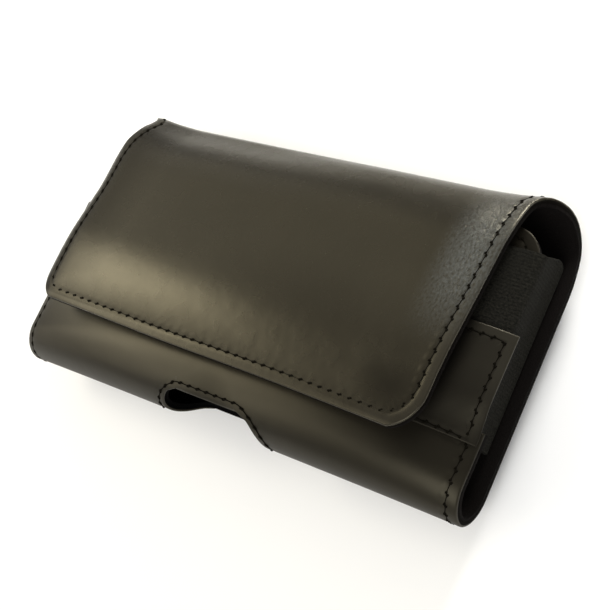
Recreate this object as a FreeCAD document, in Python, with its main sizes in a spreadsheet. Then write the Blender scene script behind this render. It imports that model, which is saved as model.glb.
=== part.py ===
import FreeCAD, Part
import math
import os
import Sketcher

# A horizontal leather phone holster that lies on its back.
# X runs along its length, +Y points to its top fold and +Z comes out of its front.
# The origin is the middle of its footprint, on the surface that it lies on.

os.makedirs("parts", exist_ok=True)
doc = FreeCAD.newDocument("phone_belt_holster")

# Driving sizes, in millimetres and degrees

SIZES = [
    ("holster_length", 180.0),
    ("holster_height", 100.0),
    ("middle_bottom_radius", 15.6),
    ("bulge_power", 3.0),
    ("end_bottom_radius", 10.5),
    ("middle_bottom_rise", 0.2),
    ("middle_mouth_depth", 21.4),
    ("end_mouth_depth", 19.2),
    ("mouth_below_top", 11.5),
    ("back_fold_radius", 15.0),
    ("leather_thickness", 1.8),
    ("lining_thickness", 1.0),
    ("glue_gap", 0.1),
    ("seat_gap", 0.2),
    ("hinge_gap", 0.3),
    ("flap_width", 154.6),
    ("flap_root_width", 167.0),
    ("flap_flare_height", 3.6),
    ("flap_drop", 82.2),
    ("flap_corner_radius", 9.0),
    ("crown_radius", 4.2),
    ("crown_turn", 52.7),
    ("slope_length", 11.5),
    ("shoulder_radius", 23.0),
    ("shoulder_turn", 27.3),
    ("slant_length", 31.0),
    ("belly_radius", 94.0),
    ("belly_turn", 8.5),
    ("back_flare_height", 21.0),
    ("fold_side_width", 177.0),
    ("fold_side_drop", 8.7),
    ("fold_shoulder_width", 172.6),
    ("fold_shoulder_drop", 1.8),
    ("notch_top_width", 29.0),
    ("notch_bottom_width", 39.0),
    ("notch_height", 6.4),
    ("notch_corner_radius", 3.0),
    ("panel_inset", 4.7),
    ("panel_step_height", 26.3),
    ("panel_corner_radius", 12.0),
    ("elastic_thickness", 1.2),
    ("elastic_inset", 3.2),
    ("elastic_lap", 20.0),
    ("elastic_flange", 9.0),
    ("elastic_bottom_height", 26.9),
    ("elastic_front_below_top", 18.8),
    ("elastic_rear_below_top", 12.9),
    ("elastic_corner_radius", 4.0),
    ("tab_thickness", 1.6),
    ("tab_width", 25.0),
    ("tab_bottom_height", 24.1),
    ("tab_height", 33.7),
    ("magnet_diameter", 12.0),
    ("magnet_thickness", 1.0),
    ("magnet_spacing", 76.0),
    ("magnet_edge_distance", 15.0),
    ("loop_thickness", 2.2),
    ("loop_width", 32.0),
    ("loop_spacing", 90.0),
    ("belt_height", 40.0),
    ("belt_depth", 5.0),
    ("loop_sewn_length", 8.0),
    ("loop_ramp_length", 6.0),
]


def fill_sheet():
    sheet = doc.addObject("Spreadsheet::Sheet", "Sizes")
    for row, (alias, value) in enumerate(SIZES, start=1):
        sheet.set("A%d" % row, alias.replace("_", " "))
        sheet.set("B%d" % row, str(value))
        sheet.setAlias("B%d" % row, alias)
    doc.recompute()
    return sheet


sheet = fill_sheet()


def size(alias):
    return float(sheet.get(alias))


half_length = size("holster_length") / 2
top = size("holster_height") / 2
bottom = -top
back = size("loop_thickness") + size("belt_depth")
leather = size("leather_thickness")
lining_start = leather + size("glue_gap")
lining_end = lining_start + size("lining_thickness")
seat_gap = size("seat_gap")
crown_z = back + size("back_fold_radius")


# The wrap: back wall, rounded bottom and front wall in one bent sheet.
# Its section grows thicker towards the middle of the holster.

def bulge(x):
    return 1 - abs(x / half_length) ** size("bulge_power")


def between(end_value, middle_value, x):
    return end_value + (middle_value - end_value) * bulge(x)


def bottom_radius(x):
    return between(size("end_bottom_radius"), size("middle_bottom_radius"), x)


def bottom_centre(x):
    radius = bottom_radius(x)
    low = bottom + size("middle_bottom_rise") * bulge(x)
    return FreeCAD.Vector(x, low + radius, back + radius)


def mouth_point(x):
    depth = between(size("end_mouth_depth"), size("middle_mouth_depth"), x)
    return FreeCAD.Vector(x, top - size("mouth_below_top"), back + depth)


def front_angle(x):
    centre = bottom_centre(x)
    reach = mouth_point(x) - centre
    return math.atan2(reach.z, reach.y) + math.acos(bottom_radius(x) / reach.Length)


def turned(x, angle, radius):
    return FreeCAD.Vector(0, math.cos(angle) * radius, math.sin(angle) * radius)


def front_z(x, y):
    """Height of the front wall's outer face over the point x, y."""
    low = bottom_centre(x) + turned(x, front_angle(x), bottom_radius(x))
    high = mouth_point(x)
    return low.z + (y - low.y) * (high.z - low.z) / (high.y - low.y)


def arc_edge(centre, radius, start, end):
    middle = (start + end) / 2
    points = [centre + turned(0, angle, radius) for angle in (start, middle, end)]
    return Part.Arc(*points).toShape()


def wrap_edges(x, depth):
    """The open section curve that lies the given depth below the outer face."""
    fold_radius = size("back_fold_radius")
    fold_centre = FreeCAD.Vector(x, top - fold_radius, back + fold_radius)
    split = -math.asin(size("hinge_gap") / 2 / fold_radius)
    fold = arc_edge(fold_centre, fold_radius - depth, split, -math.pi / 2)
    centre = bottom_centre(x)
    radius = bottom_radius(x) - depth
    angle = front_angle(x)
    curl = arc_edge(centre, radius, -math.pi / 2, angle - 2 * math.pi)
    wall_top = mouth_point(x) - turned(x, angle, depth)
    back_wall = Part.makeLine(fold_centre - turned(x, math.pi / 2, fold_radius - depth),
                              centre - turned(x, math.pi / 2, radius))
    front_wall = Part.makeLine(centre + turned(x, angle, radius), wall_top)
    return [fold, back_wall, curl, front_wall]


def first_point(edges):
    return edges[0].valueAt(edges[0].FirstParameter)


def last_point(edges):
    return edges[-1].valueAt(edges[-1].LastParameter)


def strip_wire(outer, inner):
    """One closed wire from an outer curve, an inner curve and their two end caps."""
    far_cap = Part.makeLine(last_point(outer), last_point(inner))
    near_cap = Part.makeLine(first_point(inner), first_point(outer))
    return Part.Wire(outer + [far_cap] + inner[::-1] + [near_cap])


STATION_SHARES = (-1, -0.75, -0.5, -0.25, 0, 0.25, 0.5, 0.75, 1)


def wrap_blank(name, outer_depth, inner_depth):
    stations = [half_length * share for share in STATION_SHARES]
    wires = [strip_wire(wrap_edges(x, outer_depth), wrap_edges(x, inner_depth)) for x in stations]
    blank = doc.addObject("Part::Feature", name)
    blank.Shape = Part.makeLoft(wires, True, False)
    return blank


# Sketches whose corners are tied to the sheet

def tie_corners(sketch, corners):
    """Draws a closed outline whose corners are pairs of expressions."""
    count = len(corners)
    spots = [FreeCAD.Vector(math.cos(2 * math.pi * number / count),
                            math.sin(2 * math.pi * number / count), 0) for number in range(count)]
    for number in range(count):
        side = Part.LineSegment(spots[number], spots[(number + 1) % count])
        sketch.addGeometry(side, False)
    for number in range(count):
        sketch.addConstraint(Sketcher.Constraint("Coincident", number, 2, (number + 1) % count, 1))
    for number, corner in enumerate(corners):
        for kind, text in zip(("DistanceX", "DistanceY"), corner):
            index = sketch.addConstraint(Sketcher.Constraint(kind, -1, 1, number, 1, 1.0))
            sketch.setExpression("Constraints[%d]" % index, text)
    doc.recompute()


def outline_sketch(name, corners):
    sketch = doc.addObject("Sketcher::SketchObject", name)
    tie_corners(sketch, corners)
    return sketch


def prism(name, sketch, low, high):
    solid = doc.addObject("Part::Extrusion", name)
    solid.Base = sketch
    solid.DirMode = "Custom"
    solid.Dir = FreeCAD.Vector(0, 0, 1)
    solid.LengthFwd = high
    solid.LengthRev = -low
    solid.Solid = True
    doc.recompute()
    return solid


def rounded(name, base, radius_alias, is_corner):
    """Rounds the upright edges of a prism whose corners pass the test."""
    fillet = doc.addObject("Part::Fillet", name)
    fillet.Base = base
    radius = size(radius_alias)
    edges = []
    for number, edge in enumerate(base.Shape.Edges, start=1):
        upright = len(edge.Vertexes) == 2 and abs(edge.tangentAt(edge.FirstParameter).z) > 0.99
        if upright and is_corner(edge.Vertexes[0].Point):
            edges.append((number, radius, radius))
    fillet.Edges = edges
    doc.recompute()
    return fillet


def shared_tool(name, tools):
    if len(tools) == 1:
        return tools[0]
    fuse = doc.addObject("Part::MultiFuse", name)
    fuse.Shapes = tools
    doc.recompute()
    return fuse


def cut_away(label, blank, tool):
    piece = doc.addObject("Part::Cut", label)
    piece.Base = blank
    piece.Tool = tool
    piece.Label = label
    doc.recompute()
    return piece


CUT_SPARE = 5.0
TOUCH = 0.01
MIDDLE = "Sizes.holster_height / 2"
SIDES = (("left", -1), ("right", 1))


def signed(side, text):
    return text if side > 0 else "-(%s)" % text


def notch_tool():
    low = "-%s" % MIDDLE
    line = low + " + Sizes.notch_height"
    beyond = low + " - Sizes.notch_height"
    corners = [("-Sizes.notch_bottom_width / 2", low), ("-Sizes.notch_top_width / 2", line),
               ("Sizes.notch_top_width / 2", line), ("Sizes.notch_bottom_width / 2", low),
               ("Sizes.notch_bottom_width / 2", beyond), ("-Sizes.notch_bottom_width / 2", beyond)]
    block = prism("notch_block", outline_sketch("notch_outline", corners), back, crown_z + top)
    notch_line = bottom + size("notch_height")
    return rounded("notch_tool", block, "notch_corner_radius",
                   lambda point: abs(point.y - notch_line) < TOUCH)


def panel_corner_tool(word, side):
    """Takes away what lies outside one end of the front wall above its step."""
    edge = signed(side, "Sizes.holster_length / 2 - Sizes.panel_inset")
    far = signed(side, "Sizes.holster_length / 2 + %g" % CUT_SPARE)
    near = signed(side, "Sizes.holster_length / 2 - Sizes.panel_inset"
                        " - Sizes.panel_corner_radius - %g" % CUT_SPARE)
    step = "-%s + Sizes.panel_step_height" % MIDDLE
    mouth = "%s - Sizes.mouth_below_top" % MIDDLE
    above = "%s - Sizes.mouth_below_top / 2" % MIDDLE
    corners = [(edge, step), (far, step), (far, above), (near, above), (near, mouth), (edge, mouth)]
    low = back + size("end_mouth_depth") / 2
    block = prism(word + "_panel_block", outline_sketch(word + "_panel_outline", corners), low, top)
    mouth_line = top - size("mouth_below_top")
    panel_edge = half_length - size("panel_inset")
    return rounded(word + "_panel_tool", block, "panel_corner_radius",
                   lambda point: math.hypot(abs(point.x) - panel_edge, point.y - mouth_line) < TOUCH)


def fold_flare_tool(word, side):
    """Narrows the back wall over the fold down to the width of the flap's root."""
    edge = signed(side, "Sizes.holster_length / 2")
    far = signed(side, "Sizes.holster_length / 2 + %g" % CUT_SPARE)
    root = signed(side, "Sizes.flap_root_width / 2")
    start = "%s - Sizes.back_flare_height" % MIDDLE
    above = "%s + %g" % (MIDDLE, CUT_SPARE)
    side_edge = signed(side, "Sizes.fold_side_width / 2")
    side_height = "%s - Sizes.fold_side_drop" % MIDDLE
    shoulder = signed(side, "Sizes.fold_shoulder_width / 2")
    shoulder_height = "%s - Sizes.fold_shoulder_drop" % MIDDLE
    corners = [(edge, start), (side_edge, side_height), (shoulder, shoulder_height), (root, MIDDLE),
               (root, above), (far, above), (far, start)]
    return prism(word + "_flare_tool", outline_sketch(word + "_flare_outline", corners), 0, top)


def wrap_tool():
    tools = [notch_tool()]
    for word, side in SIDES:
        tools.append(panel_corner_tool(word, side))
        tools.append(fold_flare_tool(word, side))
    return shared_tool("wrap_tool", tools)


# Magnet discs, each let into the two layers that hide it

def disc(name, centre, normal, slack):
    cylinder = doc.addObject("Part::Cylinder", name)
    cylinder.setExpression("Radius", "Sizes.magnet_diameter / 2 + %s" % slack)
    cylinder.setExpression("Height", "Sizes.magnet_thickness + 2 * %s" % slack)
    doc.recompute()
    turn = FreeCAD.Rotation(FreeCAD.Vector(0, 0, 1), normal)
    half_height = cylinder.Height.Value / 2
    cylinder.Placement = FreeCAD.Placement(centre - normal * half_height, turn)
    return cylinder


def flap_line(x, depth):
    """The flap's section curve below its outer face, and the end of its last bend with its normal."""
    turn = 0.0
    spot = FreeCAD.Vector(x, top, crown_z)
    start = math.asin(size("hinge_gap") / 2 / size("crown_radius"))
    edges = []
    bends = (("crown_radius", "crown_turn", "slope_length"),
             ("shoulder_radius", "shoulder_turn", "slant_length"),
             ("belly_radius", "belly_turn", None))
    for radius_name, turn_name, run_name in bends:
        radius = size(radius_name)
        centre = spot - turned(0, turn, radius)
        end_turn = turn + math.radians(size(turn_name))
        edges.append(arc_edge(centre, radius - depth, turn + start, end_turn))
        start = 0.0
        turn = end_turn
        spot = centre + turned(0, turn, radius)
        if run_name:
            inner = spot - turned(0, turn, depth)
            way = turned(0, turn + math.pi / 2, size(run_name))
            edges.append(Part.makeLine(inner, inner + way))
            spot = spot + way
    return edges, spot, turned(0, turn, 1), turned(0, turn + math.pi / 2, 1)


def flap_edges(x, depth):
    edges, spot, normal, down = flap_line(x, depth)
    run = (spot.y - top + size("flap_drop")) / -down.y + CUT_SPARE
    start = spot - normal * depth
    return edges + [Part.makeLine(start, start + down * run)]


def flap_blank(name, outer_depth, inner_depth):
    start = -size("flap_root_width") / 2 - CUT_SPARE
    wire = strip_wire(flap_edges(start, outer_depth), flap_edges(start, inner_depth))
    blank = doc.addObject("Part::Feature", name)
    blank.Shape = Part.Face(wire).extrude(FreeCAD.Vector(-2 * start, 0, 0))
    return blank


def flap_outline():
    half = "Sizes.flap_width / 2"
    root = "Sizes.flap_root_width / 2"
    low = "%s - Sizes.flap_drop" % MIDDLE
    flare = "%s - Sizes.flap_flare_height" % MIDDLE
    above = "%s + %g" % (MIDDLE, CUT_SPARE)
    corners = [("-" + half, low), (half, low), (half, flare), (root, MIDDLE), (root, above),
               ("-" + root, above), ("-" + root, MIDDLE), ("-" + half, flare)]
    block = prism("flap_block", outline_sketch("flap_outline", corners), 0, top + crown_z)
    low_line = top - size("flap_drop")
    return rounded("flap_outline_solid", block, "flap_corner_radius",
                   lambda point: abs(point.y - low_line) < TOUCH)


def flap_magnet_place(side):
    spot, normal, down = flap_line(0, 0)[1:]
    run = (spot.y - top + size("flap_drop") - size("magnet_edge_distance")) / -down.y
    depth = (leather + lining_start) / 2
    centre = spot + down * run - normal * depth
    return FreeCAD.Vector(side * size("magnet_spacing") / 2, centre.y, centre.z), normal


def front_magnet_place(side):
    x = side * size("magnet_spacing") / 2
    y = flap_magnet_place(side)[0].y
    step = 1.0
    slope_x = (front_z(x + step, y) - front_z(x - step, y)) / 2 / step
    slope_y = (front_z(x, y + step) - front_z(x, y - step)) / 2 / step
    normal = FreeCAD.Vector(-slope_x, -slope_y, 1).normalize()
    return FreeCAD.Vector(x, y, front_z(x, y)) - normal * ((leather + lining_start) / 2), normal


def magnets():
    pieces, front_recesses, flap_recesses = [], [], []
    for word, side in SIDES:
        for kind, place, recesses in (("front", front_magnet_place(side), front_recesses),
                                      ("flap", flap_magnet_place(side), flap_recesses)):
            name = "%s_%s_magnet" % (word, kind)
            pieces.append(disc(name, place[0], place[1], "0"))
            recesses.append(disc(name + "_recess", place[0], place[1], "Sizes.glue_gap"))
    return pieces, front_recesses, flap_recesses


def flap_piece(label, outer_depth, inner_depth, outline, recesses):
    shaped = doc.addObject("Part::MultiCommon", label + "_shaped")
    shaped.Shapes = [flap_blank(label + "_blank", outer_depth, inner_depth), outline]
    doc.recompute()
    return cut_away(label, shaped, recesses)


# Elastic gussets and the leather tabs that cover their sewn ends

def upright_loft(label, low_y, high_y, outline):
    """A ruled solid between two outlines in XZ, one at each height."""
    wires = []
    for y in (low_y, high_y):
        points = [FreeCAD.Vector(x, y, z) for x, z in outline(y)]
        wires.append(Part.makePolygon(points + points[:1]))
    piece = doc.addObject("Part::Feature", label)
    piece.Shape = Part.makeLoft(wires, True, True)
    piece.Label = label
    return piece


LEAF_STEPS = 4


def places_between(near, far):
    return [near + (far - near) * step / LEAF_STEPS for step in range(LEAF_STEPS + 1)]


def gusset_outline(side):
    fold_out = half_length - size("elastic_inset")
    fold_in = fold_out - size("elastic_thickness")
    lap = fold_in - size("elastic_lap")
    flange = fold_in - size("elastic_flange")
    floor = back + lining_end + seat_gap
    lift = size("elastic_thickness")

    def outline(y):
        under = [(x, front_z(x, y) + seat_gap) for x in places_between(lap, fold_in)]
        over = [(x, front_z(x, y) + seat_gap + lift) for x in places_between(fold_out, lap)]
        inside = [(fold_in, floor + lift), (flange, floor + lift), (flange, floor), (fold_out, floor)]
        return [(side * x, z) for x, z in under + inside + over]
    return outline


def gusset_profile_tool(name):
    """An outline across X: the gusset's upper edge rises towards the back and is rounded there."""
    front_high = top - size("elastic_front_below_top")
    rear_high = top - size("elastic_rear_below_top")
    low = bottom + size("elastic_bottom_height")
    front_depth = back + size("end_mouth_depth")
    floor = back
    ceiling = back + top
    points = [FreeCAD.Vector(0, low, floor), FreeCAD.Vector(0, rear_high, floor),
              FreeCAD.Vector(0, front_high, front_depth), FreeCAD.Vector(0, front_high, ceiling),
              FreeCAD.Vector(0, low, ceiling)]
    face = Part.Face(Part.makePolygon(points + points[:1]))
    block = face.extrude(FreeCAD.Vector(size("holster_length"), 0, 0))
    block.translate(FreeCAD.Vector(-half_length, 0, 0))
    corner = [edge for edge in block.Edges
              if all(abs(v.Point.y - rear_high) < TOUCH and abs(v.Point.z - floor) < TOUCH
                     for v in edge.Vertexes)]
    tool = doc.addObject("Part::Feature", name)
    tool.Shape = block.makeFillet(size("elastic_corner_radius") + lining_end, corner)
    return tool


def gusset(word, side, profile):
    low = bottom + size("elastic_bottom_height")
    high = top - size("elastic_rear_below_top")
    strip = upright_loft(word + "_gusset_strip", low, high, gusset_outline(side))
    piece = doc.addObject("Part::MultiCommon", word + "_gusset")
    piece.Shapes = [strip, profile]
    piece.Label = word + "_gusset"
    doc.recompute()
    return piece


def end_tab(word, side):
    low = bottom + size("tab_bottom_height")
    near = half_length - size("tab_width")

    def outline(y):
        lift = 2 * seat_gap + size("elastic_thickness")
        under = [(x, front_z(x, y) + lift) for x in places_between(near, half_length)]
        over = [(x, z + size("tab_thickness")) for x, z in under[::-1]]
        return [(side * x, z) for x, z in under + over]
    return upright_loft(word + "_end_tab", low, low + size("tab_height"), outline)


# Belt loops on the back wall

def plane_of(body, role):
    return next(item for item in body.Origin.OriginFeatures if item.Role == role)


def belt_loop(word, side):
    body = doc.addObject("PartDesign::Body", word + "_belt_loop")
    body.Label = word + "_belt_loop"
    sketch = body.newObject("Sketcher::SketchObject", word + "_loop_outline")
    sketch.AttachmentSupport = (plane_of(body, "YZ_Plane"), "")
    sketch.MapMode = "FlatFace"
    flat = "Sizes.belt_height / 2"
    ramp = flat + " + Sizes.loop_ramp_length"
    end = ramp + " + Sizes.loop_sewn_length"
    skin = "Sizes.loop_thickness"
    seat = "Sizes.belt_depth + Sizes.loop_thickness"
    half_side = [(flat + " + Sizes.loop_thickness / 2", "0"),
                 (ramp + " + Sizes.loop_thickness / 2", "Sizes.belt_depth"),
                 (end, "Sizes.belt_depth"), (end, seat), (ramp, seat), (flat, skin)]
    mirrored = [("-(%s)" % across, up) for across, up in half_side[::-1]]
    tie_corners(sketch, half_side + mirrored)
    pad = body.newObject("PartDesign::Pad", word + "_loop_pad")
    pad.Profile = sketch
    pad.SideType = "Symmetric"
    pad.setExpression("Length", "Sizes.loop_width")
    body.setExpression("Placement.Base.x", signed(side, "Sizes.loop_spacing / 2"))
    doc.recompute()
    return body


def build():
    pieces, front_recesses, flap_recesses = magnets()
    tool = wrap_tool()
    wrap_cut = shared_tool("wrap_cut", [tool] + front_recesses)
    pieces.append(cut_away("body_leather", wrap_blank("wrap_blank", 0, leather), wrap_cut))
    pieces.append(cut_away("body_lining", wrap_blank("lining_blank", lining_start, lining_end), wrap_cut))
    outline = flap_outline()
    flap_cut = shared_tool("flap_cut", flap_recesses)
    pieces.append(flap_piece("flap_leather", 0, leather, outline, flap_cut))
    pieces.append(flap_piece("flap_lining", lining_start, lining_end, outline, flap_cut))
    profile = gusset_profile_tool("gusset_profile")
    for word, side in SIDES:
        pieces.append(gusset(word, side, profile))
        pieces.append(end_tab(word, side))
        pieces.append(belt_loop(word, side))
    return pieces


def check(pieces):
    doc.recompute()
    for item in doc.Objects:
        if "Invalid" in item.State or "Error" in item.State:
            raise RuntimeError("%s did not build: %s" % (item.Name, item.State))
    for piece in pieces:
        shape = piece.Shape
        if shape.isNull() or not shape.isValid() or len(shape.Solids) != 1:
            raise RuntimeError("%s is not one valid solid" % piece.Label)
        print("%-20s %8.1f mm3  %s" % (piece.Label, shape.Volume, shape.BoundBox))


pieces = build()
check(pieces)
for piece in pieces:
    piece.Shape.exportStep("parts/%s.step" % piece.Label)
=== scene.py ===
# %% [markdown]
# # A phone holster for a belt
#
# This lesson dresses the plain solids of a leather phone holster for a picture. The holster lies on its back,
# with its length along X, its top fold towards +Y and its flap facing up. Each soft piece is made again here
# as a fine sheet that follows the solid's shape, and then gets its stitches, grain, rounded edges, and some
# light and shade painted into its colour.

import math

import bmesh
import bpy
import numpy as np
from mathutils import Matrix, Vector


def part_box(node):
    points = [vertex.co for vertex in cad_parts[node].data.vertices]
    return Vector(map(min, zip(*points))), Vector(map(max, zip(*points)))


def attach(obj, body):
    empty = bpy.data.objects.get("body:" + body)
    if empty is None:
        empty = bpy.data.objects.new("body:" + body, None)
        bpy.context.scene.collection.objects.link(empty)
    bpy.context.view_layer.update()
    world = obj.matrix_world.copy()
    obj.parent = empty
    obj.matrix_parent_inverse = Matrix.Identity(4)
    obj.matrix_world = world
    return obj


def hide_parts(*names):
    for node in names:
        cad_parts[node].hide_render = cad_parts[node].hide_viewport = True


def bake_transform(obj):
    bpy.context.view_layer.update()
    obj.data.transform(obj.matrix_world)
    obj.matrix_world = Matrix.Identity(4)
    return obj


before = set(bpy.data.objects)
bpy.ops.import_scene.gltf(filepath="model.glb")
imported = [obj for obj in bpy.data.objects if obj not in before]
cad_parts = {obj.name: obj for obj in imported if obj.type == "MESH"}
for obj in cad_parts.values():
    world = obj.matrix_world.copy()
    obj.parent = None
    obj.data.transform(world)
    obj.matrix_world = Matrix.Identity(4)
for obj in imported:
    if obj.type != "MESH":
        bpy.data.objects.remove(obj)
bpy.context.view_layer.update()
print("solids:", sorted(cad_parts))

# %% [markdown]
# ## The shape that all the sheets share
#
# All lengths in this lesson are in millimetres, and only the last step to a mesh turns them into metres. The
# sizes that the solids can tell are measured on them.

# %% Sizes taken from the solids
MM = 0.001


def box(node):
    low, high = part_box(node)
    return np.array(low) / MM, np.array(high) / MM


body_low, body_high = box("body_leather")
flap_low, flap_high = box("flap_leather")
HALF, TOP = body_high[:2]
BOTTOM, BACK = body_low[1:]
HEM = flap_low[1] + 0.6
# The fold's outer radius, and the Y where the front panel begins and ends.
FOLD = 15.0
CROWN_Z = BACK + FOLD
STEP_Y, MOUTH_Y = BOTTOM + 26.3, TOP - 11.5
LEATHER, LINING = 1.8, 1.0
ENDS = (("left", -1), ("right", 1))
print("half length %.1f, top %.1f, bottom %.1f, back %.1f, hem %.1f" % (HALF, TOP, BOTTOM, BACK, HEM))

# %% [markdown]
# One sheet of leather makes nearly the whole holster. Seen from its end it starts at the flap's hem, goes up
# and over the crown, down the back, round the bottom and up the front to the mouth. The number q follows it: -1
# is the hem, 0 the top line, 1 the end of the fold, 2 and 3 the two ends of the bottom curl, 4 the step beside
# the front panel and 5 the mouth. The bottom curl is larger in the middle of the holster than at its ends.

# %% The section of the big sheet
# Each bend of the flap, from the top line to the hem: radius, turn in degrees, and the straight run after it.
# The crown is rounder at the right end of the holster than at its left end.
LINE_STEP = 0.02
LEFT_BENDS = ((4.2, 52.7, 6.2), (45.0, 27.3, 25.7), (94.0, 8.5, 60.0))
RIGHT_BENDS = ((8.0, 52.7, 0.0), (45.0, 27.3, 29.2), (94.0, 8.5, 60.0))


def flap_line(bends):
    """The flap's outer line from the top line down to the hem: length, Y, Z and the normal's turn."""
    turns, turn = [], 0.0
    for radius, degrees, run in bends:
        end = turn + math.radians(degrees)
        turns += list(np.arange(turn, end, LINE_STEP / radius)) + [end] * int(run / LINE_STEP)
        turn = end
    turns = np.array(turns)
    y = TOP - LINE_STEP * np.concatenate([[0], np.cumsum(np.sin(turns))[:-1]])
    z = CROWN_Z + LINE_STEP * np.concatenate([[0], np.cumsum(np.cos(turns))[:-1]])
    keep = y >= HEM - LINE_STEP / 2
    return np.arange(len(y))[keep] * LINE_STEP, y[keep], z[keep], turns[keep]


LEFT_LINE, RIGHT_LINE = flap_line(LEFT_BENDS), flap_line(RIGHT_BENDS)
FLAP_LENGTH = LEFT_LINE[0][-1]


def bulge(x):
    return 1 - np.abs(x / HALF) ** 3


def ease(value):
    """Rises smoothly from zero to one while the value does."""
    value = np.clip(value, 0, 1)
    return value * value * (3 - 2 * value)


def join(*parts):
    """Puts the coordinates of many points side by side."""
    return np.stack(parts, axis=-1)


def flap_section(x, length):
    """Y, Z and the outward turn at a distance from the top line along the flap."""
    share = ease((x + 30) / 60)
    left, right = ([np.interp(length, line[0], values) for values in line[1:]]
                   for line in (LEFT_LINE, RIGHT_LINE))
    return tuple(a + (b - a) * share for a, b in zip(left, right))


def mouth_height(x):
    """Z of the front wall's outer face at the mouth, which stands further out in the middle."""
    return BACK + 19.2 + 2.2 * bulge(x)


def curl_shape(x):
    """Centre, radius and end turn of the bottom curl at x."""
    radius = 10.5 + 5.1 * bulge(x)
    centre_y = BOTTOM + 0.2 * bulge(x) + radius
    centre_z = BACK + radius
    reach_y = MOUTH_Y - centre_y
    reach_z = mouth_height(x) - centre_z
    turn = np.arctan2(reach_z, reach_y) + np.arccos(radius / np.hypot(reach_y, reach_z))
    return centre_y, centre_z, radius, turn


def front_height(x, y):
    """Z of the front wall's outer face over x, y."""
    centre_y, centre_z, radius, turn = curl_shape(x)
    low_y, low_z = centre_y + radius * np.cos(turn), centre_z + radius * np.sin(turn)
    return low_z + (y - low_y) * (mouth_height(x) - low_z) / (MOUTH_Y - low_y)


def section(x, q):
    """Y, Z and the outward normal's Y and Z, for arrays of x and q."""
    x, q = np.broadcast_arrays(np.asarray(x, float), np.asarray(q, float))
    flap_y, flap_z, flap_turn = flap_section(x, np.clip(-q, 0, 1) * FLAP_LENGTH)
    fold_turn = -np.clip(q, 0, 1) * math.pi / 2
    centre_y, centre_z, radius, front_turn = curl_shape(x)
    back_y = (TOP - FOLD) + (centre_y - TOP + FOLD) * np.clip(q - 1, 0, 1)
    curl_turn = -math.pi / 2 + (front_turn - 1.5 * math.pi) * np.clip(q - 2, 0, 1)
    low_y = centre_y + radius * np.cos(front_turn)
    front_y = np.where(q < 4, low_y + (STEP_Y - low_y) * np.clip(q - 3, 0, 1),
                       STEP_Y + (MOUTH_Y - STEP_Y) * np.clip(q - 4, 0, 1))
    parts = [q < 0, q < 1, q < 2, q < 3]
    y = np.select(parts, [flap_y, TOP - FOLD + FOLD * np.cos(fold_turn), back_y,
                          centre_y + radius * np.cos(curl_turn)], front_y)
    z = np.select(parts, [flap_z, CROWN_Z + FOLD * np.sin(fold_turn), BACK + 0 * x,
                          centre_z + radius * np.sin(curl_turn)], front_height(x, front_y))
    turn = np.select(parts, [flap_turn, fold_turn, -math.pi / 2 + 0 * x, curl_turn], front_turn)
    return y, z, np.cos(turn), np.sin(turn)


def sheet_point(x, q, lift=0.0):
    """Points lifted off the outer face of the big sheet."""
    y, z, normal_y, normal_z = section(x, q)
    return join(x + 0 * y, y + lift * normal_y, z + lift * normal_z)


# %% [markdown]
# The sheet's ends follow an outline. The flap is a little narrower than the back, and the front panel is
# narrower still, with rounded upper corners. A notch for the thumb is cut through the bottom curl.

# %% The outline of the big sheet
FLAP_HALF, PANEL_HALF, PANEL_CORNER = 77.1, 85.3, 12
# The radius of the flap's corners, left and right.
FLAP_CORNERS = {-1: 9.0, 1: 13.0}
# The notch lies a little to the right. It narrows upwards and has rounded upper corners.
NOTCH_HALF, NOTCH_X, NOTCH_RISE, NOTCH_TAPER, NOTCH_CORNER = 20.8, 2.4, 6.4, 5, 3
NOTCH_TOP = BOTTOM + NOTCH_RISE
ROOT_HALF = flap_high[0]
FOLD_LENGTH = FOLD * math.pi / 2
# Half the width at some lengths below the top line, where the flap's sides flare out to the back's.
FOLD_EDGE = ((-6.3, FLAP_HALF), (0.0, ROOT_HALF), (7.4, 86.3), (17.1, 88.5), (29.6, HALF))
SOFTEN = np.linspace(-3.6, 3.6, 13)


def round_off(distance, radius):
    """How far a rounded corner or rim draws in at a distance inside its tangent line."""
    inside = np.clip(radius - distance, 0, radius)
    return radius - np.sqrt(np.maximum(radius ** 2 - inside ** 2, 0))


def fold_edge(length):
    """Half the width over the fold at a distance below the top line on the back, with softened corners."""
    places, widths = zip(*FOLD_EDGE)
    return np.mean([np.interp(length + shift, places, widths) for shift in SOFTEN], axis=0)


def half_width(q, side=-1):
    """The sheet's width at each q, from its middle to its left or right side."""
    q = np.asarray(q, float)
    y = section(0 * q + HALF, q)[0]
    length = np.select([q < 0, q < 1], [q * FLAP_LENGTH, q * FOLD_LENGTH], FOLD_LENGTH + TOP - FOLD - y)
    fold = fold_edge(length) - np.where(q < 0, round_off(y - HEM, FLAP_CORNERS[side]), 0)
    front = PANEL_HALF - round_off(MOUTH_Y - y, PANEL_CORNER)
    return np.select([q < 2, q < 4.0001], [fold, HALF + 0 * q], front)


def notch_half(y):
    """Half the notch's width at each y, and zero above the notch."""
    taper = NOTCH_TAPER * np.clip((y - BOTTOM) / NOTCH_RISE, 0, 1)
    return np.where(y > NOTCH_TOP, 0, NOTCH_HALF - taper - round_off(NOTCH_TOP - y, NOTCH_CORNER))


print("flap %.1f wide at the hem, %.1f mm from the top line to the hem" % (2 * FLAP_HALF, FLAP_LENGTH))

# %% [markdown]
# ## From a grid to a sheet with thickness
#
# A sheet is a grid of rows along q and columns along X. Rows and columns crowd together near the outline,
# because the leather's cut edge is rounded there. Each vertex also keeps its distance to the nearest seam,
# which the leather's material reads, and its flat place on the sheet, which is its UV.

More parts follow.
